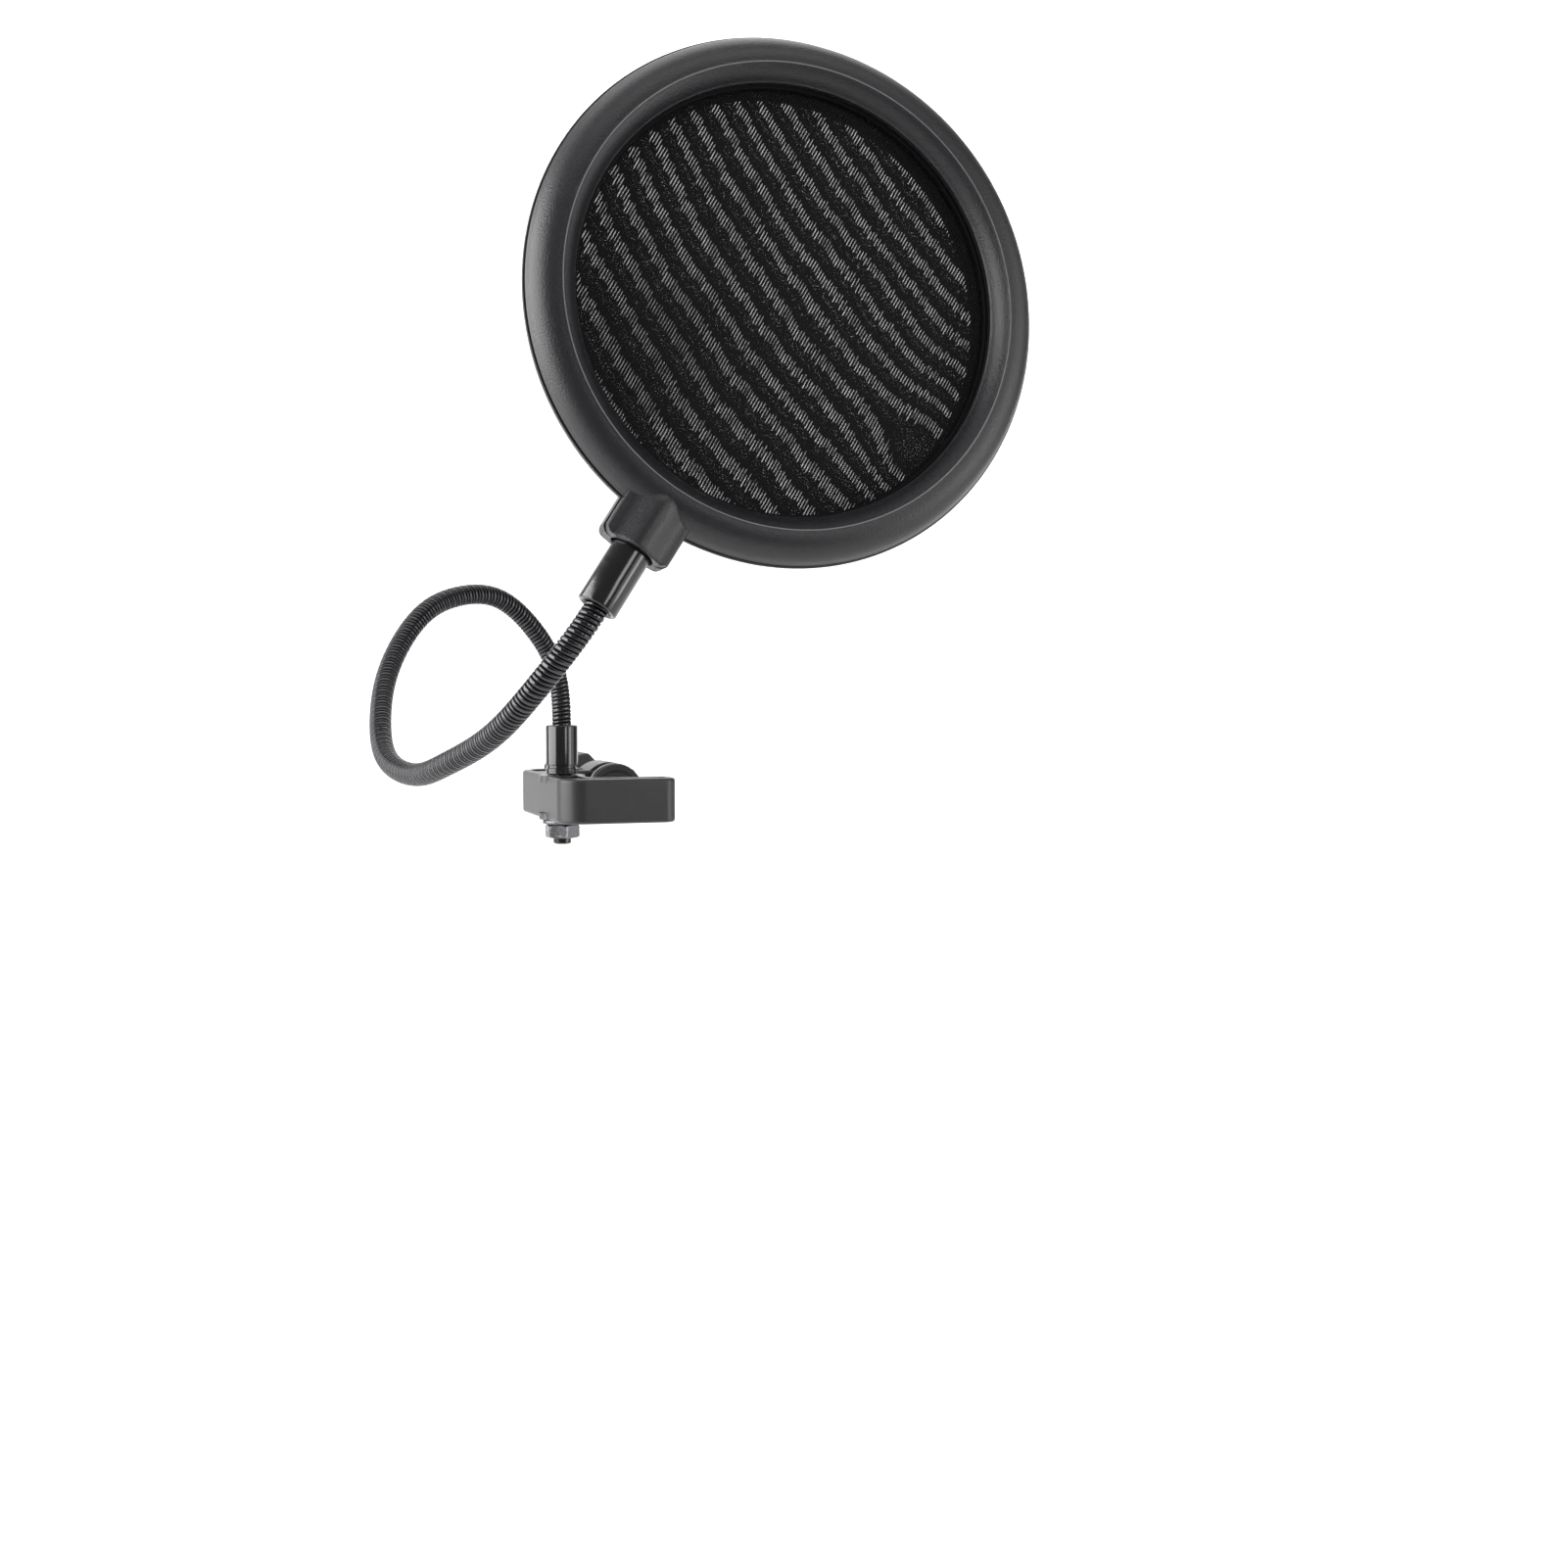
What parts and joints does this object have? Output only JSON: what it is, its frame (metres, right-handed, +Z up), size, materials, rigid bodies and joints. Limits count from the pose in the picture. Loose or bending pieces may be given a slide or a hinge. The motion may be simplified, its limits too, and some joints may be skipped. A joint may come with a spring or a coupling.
{
  "type": "pop filter",
  "caption": "Round dual-layer mesh pop filter on a bendable gooseneck with a screw clamp for a stand tube or table edge.",
  "frame": {"origin": "centre of the fixed jaw's rubber face, where the clamp meets what it grips", "axes": "+Z up, +Y from the fixed jaw to the moving foot and away from the filter, +X to the right seen from the front"},
  "size_m": [0.1541, 0.2638, 0.2107],
  "materials": {
    "shell_plastic": "satin, fine grain",
    "mesh_nylon": "fine woven nylon",
    "hoop_plastic": "matt",
    "ferrule_metal": "gloss black",
    "neck_metal": "black wound steel",
    "clamp_metal": "satin black powder coat",
    "screw_steel": "zinc plated",
    "insert_brass": "machined",
    "pad_rubber": "matt",
    "knob_plastic": "satin"
  },
  "bodies": {
    "clamp": {"clamp_frame": "clamp_metal", "jaw_pad": "pad_rubber", "threaded_insert": "insert_brass", "lower_ferrule": "ferrule_metal", "lock_washer": "screw_steel", "lock_nut": "screw_steel", "neck_link_1": "neck_metal"},
    "neck_2": {"neck_link_2": "neck_metal"},
    "neck_3": {"neck_link_3": "neck_metal"},
    "neck_4": {"neck_link_4": "neck_metal"},
    "neck_5": {"neck_link_5": "neck_metal"},
    "neck_6": {"neck_link_6": "neck_metal"},
    "neck_7": {"neck_link_7": "neck_metal"},
    "neck_8": {"neck_link_8": "neck_metal"},
    "head": {"neck_link_9": "neck_metal", "upper_ferrule": "ferrule_metal", "front_shell": "shell_plastic", "rear_shell": "shell_plastic", "front_hoop": "hoop_plastic", "rear_hoop": "hoop_plastic", "spacer_ring": "hoop_plastic", "front_mesh": "mesh_nylon", "rear_mesh": "mesh_nylon"},
    "foot": {"pressure_foot": "screw_steel", "foot_pad": "pad_rubber"},
    "screw": {"clamp_screw": "screw_steel", "knob": "knob_plastic"}
  },
  "joints": [
    {"name": "neck_bend_1", "type": "hinge", "parent": "clamp", "child": "neck_2", "pos_m": [-0.02364, 0.01409, 0.03986], "axis": [0.3865, -0.9209, 0.0501], "range_deg": [-25, 25]},
    {"name": "neck_bend_2", "type": "hinge", "parent": "neck_2", "child": "neck_3", "pos_m": [-0.04522, 0.00542, 0.06337], "axis": [-0.1068, -0.2942, -0.9498], "range_deg": [-25, 25]},
    {"name": "neck_bend_3", "type": "hinge", "parent": "neck_3", "child": "neck_4", "pos_m": [-0.07164, -0.01337, 0.05572], "axis": [0.4247, -0.8349, 0.3501], "range_deg": [-25, 25]},
    {"name": "neck_bend_4", "type": "hinge", "parent": "neck_4", "child": "neck_5", "pos_m": [-0.0853, -0.03503, 0.03344], "axis": [0.8316, -0.4768, 0.2848], "range_deg": [-25, 25]},
    {"name": "neck_bend_5", "type": "hinge", "parent": "neck_5", "child": "neck_6", "pos_m": [-0.08757, -0.06393, 0.01599], "axis": [-0.8952, -0.2018, 0.3974], "range_deg": [-25, 25]},
    {"name": "neck_bend_6", "type": "hinge", "parent": "neck_6", "child": "neck_7", "pos_m": [-0.08207, -0.09747, 0.01476], "axis": [0.2829, 0.2058, 0.9368], "range_deg": [-25, 25]},
    {"name": "neck_bend_7", "type": "hinge", "parent": "neck_7", "child": "neck_8", "pos_m": [-0.0737, -0.12944, 0.02356], "axis": [-0.9516, -0.1832, 0.2466], "range_deg": [-25, 25]},
    {"name": "neck_bend_8", "type": "hinge", "parent": "neck_8", "child": "head", "pos_m": [-0.06125, -0.154, 0.04249], "axis": [0.2532, 0.9229, 0.2901], "range_deg": [-25, 25]},
    {"name": "foot_travel", "type": "slide", "parent": "clamp", "child": "foot", "axis": [0, -1, 0], "range_m": [0, 0.025]},
    {"name": "screw_turn", "type": "hinge", "parent": "foot", "child": "screw", "pos_m": [0, 0.06, 0], "axis": [0, -1, 0], "range_deg": [0, 7200]}
  ],
  "couplings": [
    {"joint": "foot_travel", "follows": "screw_turn", "m_per_rad": 0.00019894}
  ]
}
